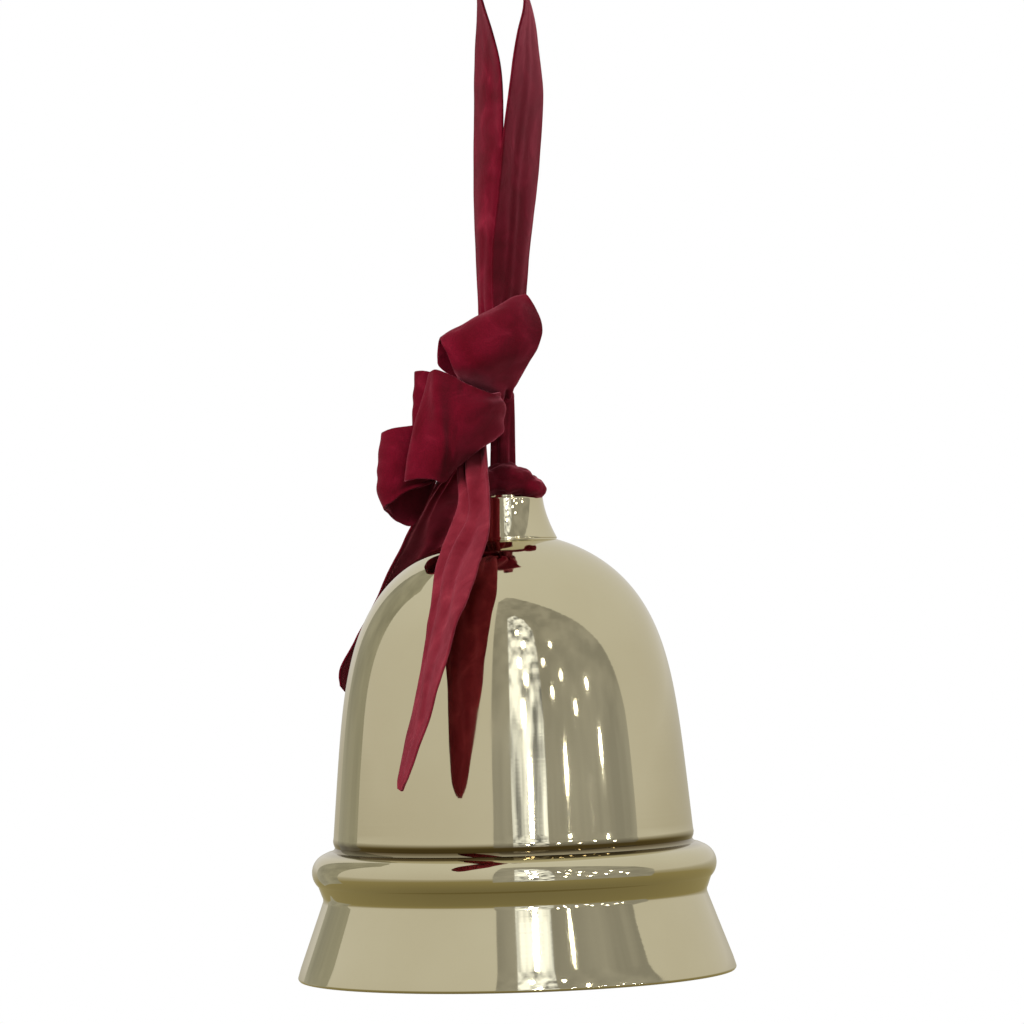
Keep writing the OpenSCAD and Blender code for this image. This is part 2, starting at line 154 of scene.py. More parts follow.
CREASE_Z = 48.4               # height of the crease between bead and dome
CREASE_SHADE_REACH = 4             # how far the painted shade in the crease spreads up and down
# painted shade: the colour the plate is darkened to in the crease
CREASE_SHADE = (0.26, 0.22, 0.17)
UNSHADED = (1, 1, 1)


def gold_plate():
    """Pale champagne plate, polished on the lathe: mirror bright with faint ripples and smears,
    and darkened in the crease between bead and dome by painted shade."""
    mat, nodes, links, bsdf = new_material("champagne_plate")
    coords = nodes.new("ShaderNodeTexCoord").outputs["Object"]
    tone = noise_node(nodes, links, coords, 14, detail=4)
    colour = ramp(nodes, [(0.3, (0.61, 0.555, 0.37)), (0.7, (0.67, 0.62, 0.43))])
    links.new(tone.outputs["Fac"], colour.inputs["Fac"])
    spin = nodes.new("ShaderNodeSeparateXYZ")
    links.new(coords, spin.inputs["Vector"])
    height = add(nodes, "ShaderNodeMapRange")
    height.inputs["From Min"].default_value = place(0, 0, CREASE_Z - CREASE_SHADE_REACH).z
    height.inputs["From Max"].default_value = place(0, 0, CREASE_Z + CREASE_SHADE_REACH).z
    links.new(spin.outputs["Z"], height.inputs["Value"])
    # painted shade: the plate's colour darkens in a band round the crease between bead and dome
    crease_shade = ramp(nodes, [(0.10, UNSHADED), (0.40, CREASE_SHADE), (0.62, CREASE_SHADE), (0.86, UNSHADED)])
    links.new(height.outputs["Result"], crease_shade.inputs["Fac"])
    links.new(multiply(nodes, links, colour, crease_shade), bsdf.inputs["Base Color"])
    bsdf.inputs["Metallic"].default_value = 1
    smear = noise_node(nodes, links, coords, 38, detail=5, rough=0.6, distortion=0.6)
    gloss = ramp(nodes, [(0.35, (0.035,) * 3), (0.62, (0.06,) * 3), (0.8, (0.13,) * 3)])
    links.new(smear.outputs["Fac"], gloss.inputs["Fac"])
    links.new(gloss.outputs["Color"], bsdf.inputs["Roughness"])
    ripple = noise_node(nodes, links, coords, 22, detail=1, rough=0.4)
    lines = add(nodes, "ShaderNodeTexNoise", noise_dimensions="1D", Scale=900, Detail=2)
    links.new(spin.outputs["Z"], lines.inputs["W"])
    bump_chain(nodes, links, bsdf, [(ripple.outputs["Fac"], 0.004, 0.10),
                                    (lines.outputs["Fac"], 0.0002, 0.02)])
    return mat


def plain_metal(name, dark, light, rough, scale=90):
    """Turned or plated metal with a mottled tone and fine scratches."""
    mat, nodes, links, bsdf = new_material(name)
    coords = nodes.new("ShaderNodeTexCoord").outputs["Object"]
    tone = noise_node(nodes, links, coords, scale, detail=5)
    colour = ramp(nodes, [(0.3, dark), (0.7, light)])
    links.new(tone.outputs["Fac"], colour.inputs["Fac"])
    links.new(colour.outputs["Color"], bsdf.inputs["Base Color"])
    bsdf.inputs["Metallic"].default_value = 1
    gloss = ramp(nodes, [(0.3, (rough * 0.7,) * 3), (0.75, (rough * 1.5,) * 3)])
    links.new(tone.outputs["Fac"], gloss.inputs["Fac"])
    links.new(gloss.outputs["Color"], bsdf.inputs["Roughness"])
    scratch = noise_node(nodes, links, coords, scale * 14, detail=2)
    bump_chain(nodes, links, bsdf, [(scratch.outputs["Fac"], 0.0002, 0.2)])
    return mat


def velvet(name, deep, mid, worn):
    """Cut-pile velvet: deep in the pile, lighter where the pile is crushed or seen edge on.

    The pile's noise runs from darker to lighter than the cloth, so its ramp passes 1."""
    mat, nodes, links, bsdf = new_material(name)
    coords = nodes.new("ShaderNodeTexCoord").outputs["Object"]
    crush = noise_node(nodes, links, coords, 75, detail=4, rough=0.55, distortion=0.8)
    colour = ramp(nodes, [(0.32, deep), (0.58, mid), (0.80, worn)])
    links.new(crush.outputs["Fac"], colour.inputs["Fac"])
    pile = noise_node(nodes, links, coords, 2600, detail=2, rough=0.7)
    shade = ramp(nodes, [(0.3, (0.72,) * 3), (0.7, (1.18,) * 3)])
    links.new(pile.outputs["Fac"], shade.inputs["Fac"])
    links.new(multiply(nodes, links, colour, shade), bsdf.inputs["Base Color"])
    bsdf.inputs["Roughness"].default_value = 0.92
    bsdf.inputs["Specular IOR Level"].default_value = 0.15
    bsdf.inputs["Sheen Weight"].default_value = 0.5
    bsdf.inputs["Sheen Roughness"].default_value = 0.38
    bsdf.inputs["Sheen Tint"].default_value = (0.95, 0.24, 0.32, 1)
    bump_chain(nodes, links, bsdf, [(crush.outputs["Fac"], 0.0012, 0.35),
                                    (pile.outputs["Fac"], 0.0003, 0.45)])
    return mat


PLATE = gold_plate()
BRASS = plain_metal("turned_brass", (0.50, 0.34, 0.13), (0.66, 0.48, 0.22), 0.22)
BALL = plain_metal("clapper_brass", (0.52, 0.40, 0.20), (0.68, 0.55, 0.31), 0.16, scale=160)
STEEL = plain_metal("zinc_steel", (0.42, 0.43, 0.44), (0.60, 0.61, 0.62), 0.28)
VELVET = velvet("wine_velvet", (0.066, 0.0008, 0.0045), (0.105, 0.0022, 0.010), (0.185, 0.010, 0.024))
# A lighter copy of the velvet for the front tail: painted sheen for how its nap catches the light
NAP_SHEEN_VELVET = velvet("nap_sheen_velvet", (0.105, 0.005, 0.011), (0.165, 0.014, 0.024), (0.25, 0.034, 0.046))


# ---------------------------------------------------------------- turned metal
LIP_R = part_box("bell_skirt")[1][0] / MM
DOME_TOP = (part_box("bell_dome")[1][2] - LIP_Z) / MM
NECK_TOP = (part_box("neck_collar")[1][2] - LIP_Z) / MM
WALL = 1.2
LIP_ROUND = 0.9               # radius of the lip's rounded edge
FLARE = ((LIP_R, 1.6), (71.0, 26.0))    # foot and top of the flare: radius, height
GROOVE = (72.9, 29, 2.8)      # radius and height of the groove's centre, radius of its section
BEAD = (66.9, 39, 7)          # the same three for the bead
FOOT = (66, 48)               # radius and height of the dome's foot
TAPER = 0.09                  # how fast the dome's side narrows on the way up
ROUNDING = (5, 0.52)          # powers that round the shoulder: the higher the first, the squarer
CLOSES_ABOVE = 2.6            # the dome's curve would close this far above its flat top
DOME_STEPS = 70
HOLE_R = 2.3                  # hole for the crown's stem, through dome and collar
TURNS = 256                   # steps round the axis


def dome_radius(z):
    u = (z - FOOT[1]) / (DOME_TOP + CLOSES_ABOVE - FOOT[1])
    return (FOOT[0] - TAPER * (z - FOOT[1])) * (1 - u ** ROUNDING[0]) ** ROUNDING[1]


def arc(centre, radius, start, end, steps):
    """Points on an arc in the section plane; angles in degrees, anticlockwise from outwards."""
    angles = [math.radians(start + (end - start) * i / steps) for i in range(steps + 1)]
    return [(centre[0] + radius * math.cos(a), centre[1] + radius * math.sin(a)) for a in angles]


def offset_line(line, distance):
    """The line moved to its left by a distance, as the inside of a sheet of metal."""
    moved = []
    for i, (r, z) in enumerate(line):
        r0, z0 = line[max(i - 1, 0)]
        r1, z1 = line[min(i + 1, len(line) - 1)]
        length = math.hypot(r1 - r0, z1 - z0)
        moved.append((r - (z1 - z0) / length * distance, z + (r1 - r0) / length * distance))
    return moved


def lathe(name, section, body, material):
    """Turns a closed section of (radius, height) points in millimetres round the bell's axis."""
    bm = bmesh.new()
    rings = []
    for r, z in section:
        ring = [bm.verts.new(place(r * math.cos(a), r * math.sin(a), z))
                for a in (2 * math.pi * k / TURNS for k in range(TURNS))]
        rings.append(ring)
    for low, high in zip(rings, rings[1:] + rings[:1]):
        for k in range(TURNS):
            j = (k + 1) % TURNS
            bm.faces.new((low[k], low[j], high[j], high[k]))
    bmesh.ops.recalc_face_normals(bm, faces=bm.faces)
    return finish_mesh(name, bm, body, material)


def finish_mesh(name, bm, body, material):
    """The piece made from a mesh under construction, smooth, in one material, on its body."""
    mesh = bpy.data.meshes.new(name)
    bm.to_mesh(mesh)
    bm.free()
    mesh.polygons.foreach_set("use_smooth", [True] * len(mesh.polygons))
    mesh.materials.append(material)
    obj = bpy.data.objects.new(name, mesh)
    bpy.context.scene.collection.objects.link(obj)
    if body:
        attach(obj, body)
    return obj


# The crease between the bead and the dome: nipped in outside, plain inside
NIPPED = [(68.2, 46.1), (66.6, 46.5), (65.5, 46.8), (65.15, 47.3), (65.3, 48.0), (65.75, 49.2),
          (65.9, 50.3)]
PLAIN = [(68.6, 46.4), (67.4, 47.2), (66.5, 48.0), (66.2, 48.8), (65.95, 50.3)]


def bell_outline(crease):
    """Outline from the lip's edge to the top of the dome, through the given crease."""
    lip = arc((LIP_R - LIP_ROUND, LIP_ROUND), LIP_ROUND, -60, 20, 5)
    (r0, z0), (r1, z1) = FLARE
    flare = [(r0 - (r0 - r1) * i / 8, z0 + (z1 - z0) * i / 8) for i in range(1, 9)]
    groove = arc(GROOVE[:2], GROOVE[2], 205, 150, 6)
    bead = arc(BEAD[:2], BEAD[2], -46, 62, 26)
    low, high = 51.5, DOME_TOP - 0.35
    shares = (1 - (1 - i / DOME_STEPS) ** 1.6 for i in range(DOME_STEPS + 1))    # closer at the top
    dome = [(dome_radius(z), z) for z in (low + (high - low) * share for share in shares)]
    return lip + flare + groove + bead + crease + dome


def make_bell():
    """The shell in one piece: skirt, waist and dome, with the hole for the crown's stem."""
    outer = bell_outline(NIPPED)
    ceiling = DOME_TOP - WALL
    top = [(19.2, DOME_TOP), (HOLE_R, DOME_TOP), (HOLE_R, ceiling), (17, ceiling)]
    inner = [p for p in offset_line(bell_outline(PLAIN), WALL) if p[0] > 17.5 and p[1] > 0]
    rim = [(LIP_R - WALL - 0.1, 0.0), (LIP_R - 0.5, 0.0)]
    bell = lathe("bell_body", rim + outer + top + inner[::-1], "bell", PLATE)
    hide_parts("bell_skirt", "bell_waist", "bell_dome")


def make_collar():
    """The neck: a flared collar with a rolled top edge, seated on the dome."""
    low, high, foot, rim = DOME_TOP, NECK_TOP, 19.3, 14.4
    height = high - low

    def radius(z):
        return rim + (foot - rim) * ((high - z) / height) ** 1.6

    side = [(radius(z), z) for z in (low + 0.25 + (height - 1.3) * i / 24 for i in range(25))]
    bottom = [(foot - WALL, low), (foot - 0.2, low)]
    edge = arc((rim - 0.75, high - 0.8), 0.8, 15, 90, 6)
    top = [(rim - 2, high - 0.05), (rim - 3, high - 0.35), (8, high - 0.4), (HOLE_R, high - 0.4)]
    under = [(HOLE_R, high - WALL), (rim - 3, high - WALL)]
    inside = [(r - WALL, z) for r, z in side[::-1]]
    collar = lathe("neck_ferrule", bottom + side + edge + top + under + inside, "bell", PLATE)
    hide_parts("neck_collar")


# ---------------------------------------------------------------- ribbon
RIBBON_W = 38                 # selvage to selvage
CLOTH = 0.9                   # thickness of the velvet
STEPS = 8                     # mesh steps between two listed points, along and across
OPENS_OVER = 7                # width over which gathered cloth opens out
DRIFT, DRIFT_ALONG, DRIFT_ACROSS = 0.6, 18, 2.2     # how far and how fast folds wander sideways
UNEVEN, UNEVEN_ALONG, UNEVEN_ACROSS = 0.7, 25, 3    # how far and how fast their depth changes


def curve_point(p, i, t):
    """Point on a smooth curve through the list p, a share t of the way from p[i] to the next."""
    last = len(p) - 1
    a, b, c, d = p[max(i - 1, 0)], p[i], p[min(i + 1, last)], p[min(i + 2, last)]
    return 0.5 * (2 * b + (c - a) * t + (2 * a - 5 * b + 4 * c - d) * t * t
                  + (3 * b - 3 * c + d - a) * t * t * t)


def smooth(p, steps):
    """The list p with the curve through it filled in."""
    points = [curve_point(p, i, k / steps) for i in range(len(p) - 1) for k in range(steps)]
    return points + [p[-1]]


def ribbon(name, rows, material=VELVET, folds=3, deepest=1.4, wave=0.2, gather=12, flat_end=False,
           crumple=0.35, grain=9.0, seed=0):
    """A strip of velvet through rows of points, each row running from edge to edge.

    Where a row is narrower than the ribbon the cloth is taken up in folds that run along the
    strip: up to "deepest" where the row is narrower than "gather", and only "wave" where the
    strip lies open. Where a strip has a flat end, its folds die out on the way there."""
    rows = [[Vector(p) for p in row] for row in rows]
    lines = [smooth([row[k] for row in rows], STEPS) for k in range(len(rows[0]))]
    grid = [smooth([line[i] for line in lines], STEPS) for i in range(len(lines[0]))]
    n, m = len(grid), len(grid[0])
    bm = bmesh.new()
    verts = []
    for i, row in enumerate(grid):
        width = sum((q - p).length for p, q in zip(row, row[1:]))
        spare = max(1.0, RIBBON_W / width)
        depth = width / folds / 4 * math.sqrt(spare * spare - 1)
        gathered = min(1.0, max(0.0, (gather + OPENS_OVER - width) / OPENS_OVER))
        depth = min(depth, wave + (deepest - wave) * gathered)
        if flat_end:
            depth *= min(1.0, max(0.1, 2.2 - 2.6 * i / n))
        line = []
        for j, p in enumerate(row):
            du = grid[min(i + 1, n - 1)][j] - grid[max(i - 1, 0)][j]
            dv = row[min(j + 1, m - 1)] - row[max(j - 1, 0)]
            normal = du.cross(dv)
            if normal.length > 1e-9:
                normal.normalize()
            s = j / (m - 1)
            drift = DRIFT * noise.noise(Vector((i / DRIFT_ALONG, seed * 3.1, s * DRIFT_ACROSS)))
            uneven = UNEVEN * noise.noise(Vector((i / UNEVEN_ALONG, seed * 5.3, s * UNEVEN_ACROSS)))
            push = depth * (1 + uneven) * math.sin(2 * math.pi * (folds * s + drift + seed * 0.37))
            sample = Vector((p.x / grain + seed * 7.3, p.y / grain, p.z / grain))
            push += crumple * (noise.noise(sample) + 0.35 * noise.noise(sample * 2.6))
            line.append(bm.verts.new(place(*(p + normal * push))))
        verts.append(line)
    for low, high in zip(verts, verts[1:]):
        for j in range(m - 1):
            bm.faces.new((low[j], high[j], high[j + 1], low[j + 1]))
    obj = finish_mesh(name, bm, None, material)
    solid = obj.modifiers.new("cloth_thickness", "SOLIDIFY")
    solid.thickness = CLOTH * MM
    solid.offset = 0
    rounding = obj.modifiers.new("soft_edges", "SUBSURF")
    rounding.levels = rounding.render_levels = 1
    apply_modifiers(obj)
    return obj


def apply_modifiers(obj):
    """Turns the object's modifiers into its own mesh."""
    bpy.context.view_layer.update()
    graph = bpy.context.evaluated_depsgraph_get()
    mesh = bpy.data.meshes.new_from_object(obj.evaluated_get(graph))
    obj.modifiers.clear()
    old, obj.data = obj.data, mesh
    bpy.data.meshes.remove(old)
    mesh.polygons.foreach_set("use_smooth", [True] * len(mesh.polygons))


def hook_row(near_x, far_x, z):
    """A level row over the hook, from the near edge to the far edge."""
    return [(near_x + (far_x - near_x) * k / 4, RIBBON_W / 2 * (k / 2 - 1), z) for k in range(5)]


# Up the left strand, over the hook and down the right strand
HANGER = [
    [(-3, -1, 210), (-3.5, 0.5, 210.5), (-4, 2, 210), (-4.2, 3.5, 210.5), (-4, 5, 210)],
    [(-2.5, -2.5, 222), (-3.5, 0, 222), (-4.3, 3, 222), (-5, 6, 222), (-5, 9, 222)],
    [(-2, -4.5, 234), (-4, -1, 234), (-5.5, 3, 234), (-6.2, 7.5, 234), (-6, 11.5, 234)],
    [(-1.5, -6, 250), (-4, -2, 250), (-6, 3, 250), (-6.8, 9, 250), (-6.3, 14, 250)],
    [(0.5, -7, 275), (-3, -2, 275), (-6, 4, 275), (-7.2, 12, 275), (-7, 20, 275)],
    [(3.5, -8.5, 300), (-0.5, -3, 300), (-4, 4, 300), (-6.5, 12, 300), (-7, 20, 300)],
    [(4, -10, 325), (1, -4, 325), (-2.5, 3, 325), (-5, 11, 325), (-6.2, 19, 325)],
    [(1.3, -14, 342), (-0.8, -6, 342), (-2.6, 2, 342), (-4.2, 10.5, 342), (-5.2, 18.5, 342)],
    hook_row(-3, -4, 358),
    hook_row(-5, -5, 376),
    hook_row(0, 0, 388.5),
    hook_row(5, 6, 378),
    hook_row(10, 12, 366),
    hook_row(13, 16, 354),
    [(10, -18, 341), (12, -9, 341), (14, 0, 341), (16, 9, 340), (17.8, 18, 339.5)],
    [(7, -17, 325), (10, -9, 325), (13.2, -1, 324), (16.3, 8, 323), (19, 17, 322)],
    [(4, -17, 305), (7.5, -9, 305), (11, -1, 304), (14.5, 8, 303), (17.3, 16, 302)],
    [(1, -14, 282), (5, -7, 282), (9, 0, 282), (12.5, 7, 282), (14.8, 14, 282)],
    [(-1.5, -10, 262), (2.5, -5.5, 262), (6.5, -0.5, 262), (9.8, 5, 262), (11.8, 11, 262)],
    [(-2, -6, 242), (1, -3, 242), (4.5, 0.5, 242), (7.5, 4.5, 242), (9.5, 8.5, 242)],
    [(-0.5, -3, 225), (1, -1, 225), (3, 1, 225), (5, 3, 225), (6.5, 6, 225)],
    [(0, -3, 210.5), (1, -1.5, 210), (1.5, 0, 210.5), (2, 1.5, 210), (3, 3, 210.5)],
]

UPPER_LOOP = [
    [(-5, -5, 209.5), (-2.5, -6.5, 210.5), (0, -5, 209.5), (2, -6.5, 210.5), (4, -5, 209.5)],
    [(-12, -12, 214), (-8, -14, 214), (-2, -14, 214), (3, -12, 215), (7, -9, 216.5)],
    [(-15.5, -18, 218), (-10, -22, 218), (-3, -22.5, 219), (4, -20, 221.5), (11, -15, 223)],
    [(-17, -22, 221), (-10, -26, 222), (-2, -26.5, 224), (7, -23.5, 226.5), (14.5, -18, 228)],
    [(-19, -22, 226.5), (-10, -25.5, 228), (-1, -25.5, 231), (7.5, -22.5, 233.5), (16, -17.5, 234)],
    [(-20.7, -20, 230), (-12, -21.5, 234), (-3, -21, 238.5), (6, -18.5, 241.5), (14.5, -14, 240.5)],
    [(-21.2, -16, 232), (-13, -15, 236.5), (-4, -14, 241), (4, -12.5, 245.5), (10.5, -11, 247.5)],
    [(-22, -13, 230.5), (-13, -12, 235), (-5, -10.5, 239), (3, -9, 242), (9.5, -7.5, 242)],
    [(-22.5, -12, 225), (-14, -9.5, 229), (-6, -8, 231.5), (2, -6.5, 232), (8, -5.5, 231)],
    [(-21, -11, 221), (-14, -8, 221), (-7, -6, 222), (-1, -4.5, 222), (5, -4, 221)],
    [(-10, -5, 213.5), (-7, -3.5, 214), (-4, -2.5, 214.5), (-1, -2, 214.5), (3, -2.5, 214)],
    [(-7, -2, 209.5), (-5, -1, 210.5), (-3, -2, 209.5), (-1, -1, 210.5), (1, -2, 209.5)],
]

FRONT_LOOP = [
    [(-1, -6, 212), (-2, -7, 210.5), (-2, -6, 209), (-3, -7, 207.5), (-4, -6, 206)],
    [(0, -9, 212), (0.5, -9, 208), (0.5, -9, 203), (-1, -9, 199), (-3, -9, 196)],
    [(-0.5, -14, 212), (0.6, -15, 208), (0.8, -15, 203), (-0.3, -15, 198), (-2.5, -14, 194)],
    [(-3, -19.5, 211.5), (-4, -22, 207), (-5.5, -23.5, 202), (-7.5, -23, 197), (-9, -20, 191)],
    [(-10, -20, 214.5), (-11, -24, 207.5), (-12.5, -26.5, 200), (-14.5, -26.5, 193), (-15, -22, 186)],
    [(-17, -20, 218), (-17.5, -24, 209), (-18.5, -27, 200), (-19.5, -28, 190.5), (-21, -24, 179.5)],
    [(-22.5, -19.5, 220.5), (-22.8, -25, 211), (-22, -28.5, 201), (-21.5, -29.5, 191), (-25, -26, 180.5)],
    [(-24.5, -17.5, 220.3), (-25.5, -21, 210.5), (-26.5, -24, 200.5), (-28, -26, 190), (-30.5, -24, 181)],
    [(-25.5, -14.5, 219.5), (-28, -17, 210), (-31, -19.5, 200), (-33.5, -21, 190), (-35, -20, 180.5)],
    [(-24, -11, 218), (-26.5, -13, 209), (-29.5, -15, 200), (-32, -15.5, 190.5), (-34, -15, 181)],
    [(-16, -8, 214), (-18, -9, 207), (-20, -10, 200), (-22, -10, 193), (-24, -10, 186)],
    [(-8, -5, 213), (-8.5, -4, 211), (-9, -5, 209), (-9, -4, 207), (-9.5, -5, 205)],
]

LEFT_LOOP = [
    [(-8, -3, 210), (-9, -2, 209), (-9, -3, 208), (-9.5, -2, 207), (-10, -3, 206)],
    [(-20, -3, 202.5), (-20, -4.5, 198), (-20.5, -5.5, 193), (-21, -6, 188), (-22, -6, 183)],
    [(-32, -6, 201), (-32.5, -9, 195), (-33, -11, 189), (-34, -12, 183), (-35, -11.5, 177)],
    [(-39, -7, 200.3), (-39.5, -10.5, 194), (-40, -12.5, 187), (-40.5, -12.5, 180), (-40, -11.5, 173.5)],
    [(-43, -4, 199), (-44.3, -6, 193), (-45, -7.5, 185), (-45.3, -8, 178), (-43.5, -8, 171.3)],
    [(-42.5, 0, 199), (-43.5, -1, 192), (-44, -1, 184), (-44, -1, 176), (-42, -1, 169)],
    [(-38, 3, 199.5), (-38.5, 3, 192), (-39, 4, 183), (-39, 4, 174), (-38.5, 3, 166)],
    [(-30, 4, 201), (-30.5, 5, 193), (-31, 6, 184), (-31.5, 6, 175), (-32, 5, 166)],
    [(-20, 3, 205), (-20, 4, 200), (-20.5, 4, 195), (-21, 4, 190), (-22, 3, 185)],
    [(-9, 1, 211), (-9.5, 2, 209.5), (-10, 1, 208), (-10, 2, 206.5), (-10, 1, 205)],
]

BACK_LOOP = [
    [(-6, 3, 213), (-7, 4, 211.5), (-7, 3, 210), (-7.5, 4, 208.5), (-8, 3, 207)],
    [(-18, 8, 219), (-18.5, 9, 213), (-19, 9.5, 207), (-19.5, 9, 201), (-20, 8, 195)],
    [(-27, 11, 221.8), (-27.5, 12, 212.5), (-28, 12.5, 203), (-28.5, 12, 194), (-29, 11, 185)],
    [(-31, 15, 222), (-31.8, 16, 213), (-32.5, 16.5, 203.5), (-33, 16, 194), (-33, 15, 184.5)],
    [(-28, 19, 221.5), (-28.5, 20, 212), (-29, 20.5, 203), (-29.5, 20, 194), (-30, 19, 185)],
    [(-18, 16, 218.5), (-18.5, 17, 212), (-19, 17, 206), (-19.5, 17, 200), (-20, 16, 194)],
    [(-5, 5.5, 213), (-5.5, 6.5, 211.5), (-6, 5.5, 210), (-6.5, 6.5, 208.5), (-7, 5.5, 207)],
]

FRONT_TAIL = [
    [(-9, -3, 209), (-8, -4, 208.5), (-7, -3.5, 208), (-6, -4.5, 208), (-5, -4, 208)],
    [(-14, -8, 195), (-12, -9, 194.5), (-10, -11, 194), (-7.5, -13, 193.5), (-5.5, -14, 193)],
    [(-16, -13, 184), (-14, -16, 183.5), (-11.5, -20, 183), (-8, -25, 182), (-4.8, -28, 181)],
    [(-16.5, -19, 173), (-15, -24, 172), (-12, -30, 171), (-8.5, -37, 170), (-4.6, -42, 168)],
    [(-18.5, -26, 165), (-16.5, -32, 163.5), (-13.5, -39, 162), (-9.5, -47, 160), (-5.5, -54, 158.5)],
    [(-22.5, -34, 156), (-20.5, -41, 154), (-17, -48, 152), (-13, -56, 150), (-9.2, -64, 149)],
    [(-25.3, -42, 147), (-23.5, -50, 144.5), (-20.5, -58, 142.5), (-17, -66, 140.5), (-13, -74, 139.5)],
    [(-27, -50, 136), (-25.5, -58, 133.5), (-23, -66, 131.5), (-20, -75, 130), (-16.5, -83, 129.5)],
    [(-28.5, -57, 124), (-27.5, -65, 122), (-25.5, -74, 120.5), (-23, -82, 119.5), (-20, -91, 119)],
    [(-31, -65, 110.5), (-30, -72, 110), (-28.5, -79.5, 109), (-26.5, -87, 108.5), (-23.5, -94, 108.5)],
    [(-34, -71, 98), (-33, -77, 97.5), (-31.5, -83, 97), (-29.5, -89, 97), (-27, -95, 97.5)],
    [(-37, -77, 86), (-36, -82, 86), (-34.5, -87, 86), (-33, -92, 86.5), (-31.5, -96, 87)],
    [(-38.8, -82, 77), (-38, -85.5, 76.5), (-37, -89, 76.3), (-36, -92.5, 76.5), (-35, -96, 77.5)],
    [(-39, -88, 72.2), (-38.6, -89.3, 71.8), (-38.2, -90.5, 71.6), (-38, -91.8, 71.8), (-37.5, -93, 72)],
]

REAR_TAIL = [
    [(-9, 2, 209), (-8.5, 3, 208.5), (-8, 4, 208), (-7, 5, 208), (-6, 6, 208)],
    [(-16, 7, 195), (-15, 9, 194), (-13.5, 12, 193), (-11.5, 14.5, 193), (-9, 16.5, 193)],
    [(-25, 11, 181), (-23.5, 15, 180), (-21, 19, 179.5), (-18, 23, 179.5), (-14, 26, 180)],
    [(-33, 14.5, 168), (-31, 20, 168), (-28, 26, 168), (-24, 31, 168.5), (-18.5, 35, 169.5)],
    [(-39, 20, 156), (-37, 27, 156.5), (-33.5, 34, 157), (-28.5, 40, 158), (-22, 45, 159)],
    [(-46, 28, 144.5), (-43.5, 35.5, 145), (-39.5, 43, 146), (-34, 49.5, 147), (-27, 55, 148)],
    [(-51.5, 34, 133), (-48.5, 42, 133), (-44, 50, 133.5), (-38, 57, 134.5), (-30.5, 62.5, 136)],
    [(-57.5, 37, 122), (-54.5, 45.5, 121), (-49.5, 53.5, 121), (-43, 60.5, 122), (-35, 66, 124)],
    [(-63, 39, 113), (-60, 47, 111), (-55, 55, 110), (-48, 62, 110.5), (-40, 67.5, 112.5)],
    [(-63.5, 40.5, 106), (-60.5, 48, 102.5), (-56, 56, 100.5), (-49, 63.5, 101.5), (-41.5, 68.5, 104)],
]


def make_ribbons():
    """Each stretch of the ribbon: its piece, the CAD node it dresses, its length and its hold."""
    hanger = ribbon("velvet_hanging_loop", HANGER, wave=0.12, gather=14, crumple=0.3, grain=18, seed=0)
    upper = ribbon("velvet_upper_loop", UPPER_LOOP, wave=0.15, seed=1)
    front = ribbon("velvet_front_loop", FRONT_LOOP, folds=2, deepest=2, wave=0.6, gather=8, seed=2)
    left = ribbon("velvet_left_loop", LEFT_LOOP, folds=4, deepest=2.4, wave=0.15, gather=19, seed=3)
    back = ribbon("velvet_back_loop", BACK_LOOP, folds=4, deepest=2.4, wave=0.15, gather=19, seed=4)
    # The front tail is in the lighter copy of the velvet: painted sheen
    front_tail = ribbon("velvet_front_tail", FRONT_TAIL, NAP_SHEEN_VELVET, folds=2.5, deepest=2.2, wave=0.9,
                        gather=18, flat_end=True, seed=5)
    rear_tail = ribbon("velvet_rear_tail", REAR_TAIL, folds=2.5, deepest=2.2, wave=0.7,
                       gather=16, seed=6)
    for piece, node, length, held, cut in (
            (hanger, "hanging_loop", 0.365, "hung", None),
            (upper, "bow_loop_upper", 0.088, "gathered", None),
            (front, "bow_loop_front", 0.088, "gathered", None),
            (left, "bow_loop_left", 0.104, "gathered", None),
            (back, "bow_loop_back", 0.066, "gathered", None),
            (front_tail, "tail_front", 0.17, "hung", 0.0055),
            (rear_tail, "tail_rear", 0.132, "hung", None)):
        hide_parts(node)
        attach(piece, "ribbon")


# ---------------------------------------------------------------- gathered masses
PLEAT_STEPS = 120             # mesh steps round a pleated column


def pleated_column(rings, count, depth, twist, seed):
    """A closed column through rings of (centre x, centre y, height, half x, half y), with its
    side pleated into "count" folds that turn by "twist" from ring to ring."""
    around = PLEAT_STEPS
    bm = bmesh.new()
    loops = []
    for i, (cx, cy, z, hx, hy) in enumerate(rings):
        loop = []
        for k in range(around):
            a = 2 * math.pi * k / around
            pleat = 1 + depth * math.sin(count * a + twist * i + seed)
            pleat += 0.45 * depth * math.sin((count + 3) * a - twist * i * 1.7 + seed * 2)
            x, y = cx + hx * math.cos(a) * pleat, cy + hy * math.sin(a) * pleat
            loop.append(bm.verts.new(place(x, y, z)))
        loops.append(loop)
    for low, high in zip(loops, loops[1:]):
        for k in range(around):
            j = (k + 1) % around
            bm.faces.new((low[k], low[j], high[j], high[k]))
    for loop in (loops[0], loops[-1]):
        centre = bm.verts.new(sum((v.co for v in loop), Vector()) / around)
        for k in range(around):
            bm.faces.new((centre, loop[(k + 1) % around], loop[k]))
    bmesh.ops.recalc_face_normals(bm, faces=bm.faces)
    return bm


def stem():
    """The gathered ribbon between the two knots, as a pleated column."""
    rings = smooth([Vector(r) for r in (
        (0, 0, 184, 4.3, 3.8), (0, 0, 187, 4.2, 3.8), (0.2, 0, 196, 4.1, 3.6),
        (0.3, 0, 204, 4.2, 3.8), (0, 0, 212, 4.6, 4.2))], STEPS)
    bm = pleated_column(rings, count=5, depth=0.13, twist=0.04, seed=2.0)
    piece = finish_mesh("velvet_stem", bm, None, VELVET)
    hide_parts("ribbon_stem")
    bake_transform(piece)


